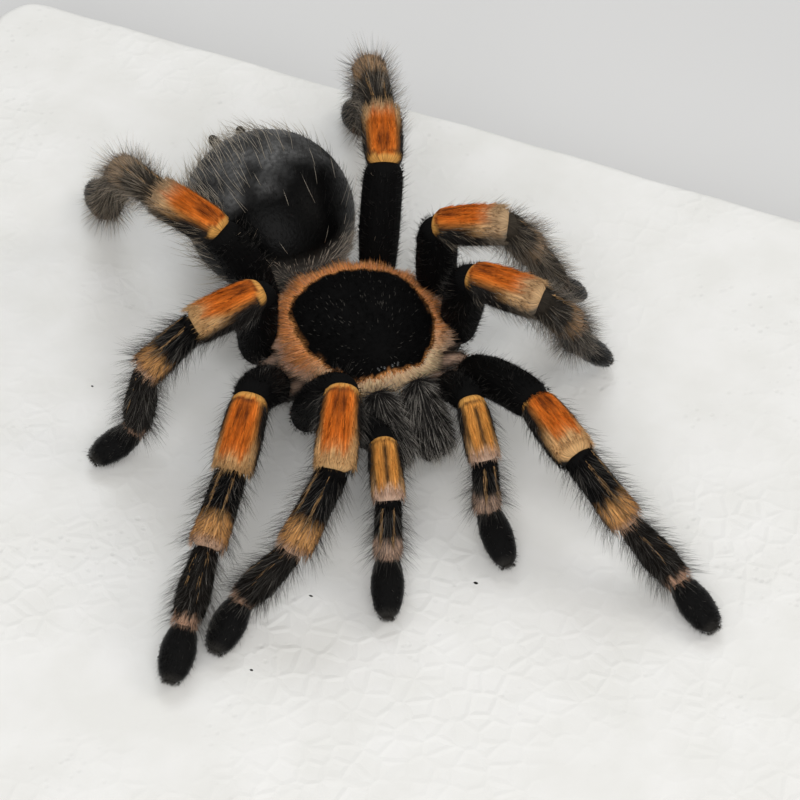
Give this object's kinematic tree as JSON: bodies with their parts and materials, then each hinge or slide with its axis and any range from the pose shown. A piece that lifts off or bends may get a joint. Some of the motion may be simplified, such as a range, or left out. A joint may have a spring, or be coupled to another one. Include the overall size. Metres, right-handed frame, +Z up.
{
  "type": "mounted tarantula specimen on a foam board",
  "caption": "Dried red-kneed tarantula with banded, bristly legs, posed walking on a white foam slab.",
  "frame": {"origin": "the middle of the foam board's underside", "axes": "+X along the board's long side, +Y along its short side, +Z up; the spider heads between +X and -Y"},
  "size_m": [0.18, 0.15, 0.0493],
  "materials": {
    "foam": "matt white expanded bead foam",
    "carapace": "black velvet hair with a tan fringe",
    "underside": "dark short hair",
    "abdomen": "black velvet with long pale hairs",
    "spinneret": "dark short hair",
    "chelicera": "black with grey-tan bristles",
    "fang": "glossy black horn",
    "femur": "jet black velvet hair",
    "knee": "orange hair with dark streaks and tan ends",
    "tibia": "black hair with a tan far end",
    "metatarsus": "dark brown hair with a pale far end",
    "tarsus": "black velvet pad"
  },
  "bodies": {
    "root": {"foam_board": "foam", "carapace": "carapace", "sternum": "underside", "abdomen": "abdomen", "spinneret_left": "spinneret", "chelicera_left": "chelicera", "fang_left": "fang", "spinneret_right": "spinneret", "chelicera_right": "chelicera", "fang_right": "fang", "palp_left_femur": "femur", "palp_left_patella": "knee", "palp_left_tibia": "tibia", "palp_left_tarsus": "tarsus", "leg_left_1_femur": "femur", "leg_left_1_patella": "knee", "leg_left_1_tibia": "tibia", "leg_left_1_metatarsus": "metatarsus", "leg_left_1_tarsus": "tarsus", "leg_left_2_femur": "femur", "leg_left_2_patella": "knee", "leg_left_2_tibia": "tibia", "leg_left_2_metatarsus": "metatarsus", "leg_left_2_tarsus": "tarsus", "leg_left_3_femur": "femur", "leg_left_3_patella": "knee", "leg_left_3_tibia": "tibia", "leg_left_3_metatarsus": "metatarsus", "leg_left_3_tarsus": "tarsus", "leg_left_4_femur": "femur", "leg_left_4_patella": "knee", "leg_left_4_tibia": "tibia", "leg_left_4_metatarsus": "metatarsus", "leg_left_4_tarsus": "tarsus", "palp_right_femur": "femur", "palp_right_patella": "knee", "palp_right_tibia": "tibia", "palp_right_tarsus": "tarsus", "leg_right_1_femur": "femur", "leg_right_1_patella": "knee", "leg_right_1_tibia": "tibia", "leg_right_1_metatarsus": "metatarsus", "leg_right_1_tarsus": "tarsus", "leg_right_2_femur": "femur", "leg_right_2_patella": "knee", "leg_right_2_tibia": "tibia", "leg_right_2_metatarsus": "metatarsus", "leg_right_2_tarsus": "tarsus", "leg_right_3_femur": "femur", "leg_right_3_patella": "knee", "leg_right_3_tibia": "tibia", "leg_right_3_metatarsus": "metatarsus", "leg_right_3_tarsus": "tarsus", "leg_right_4_femur": "femur", "leg_right_4_patella": "knee", "leg_right_4_tibia": "tibia", "leg_right_4_metatarsus": "metatarsus", "leg_right_4_tarsus": "tarsus"}
  },
  "joints": []
}
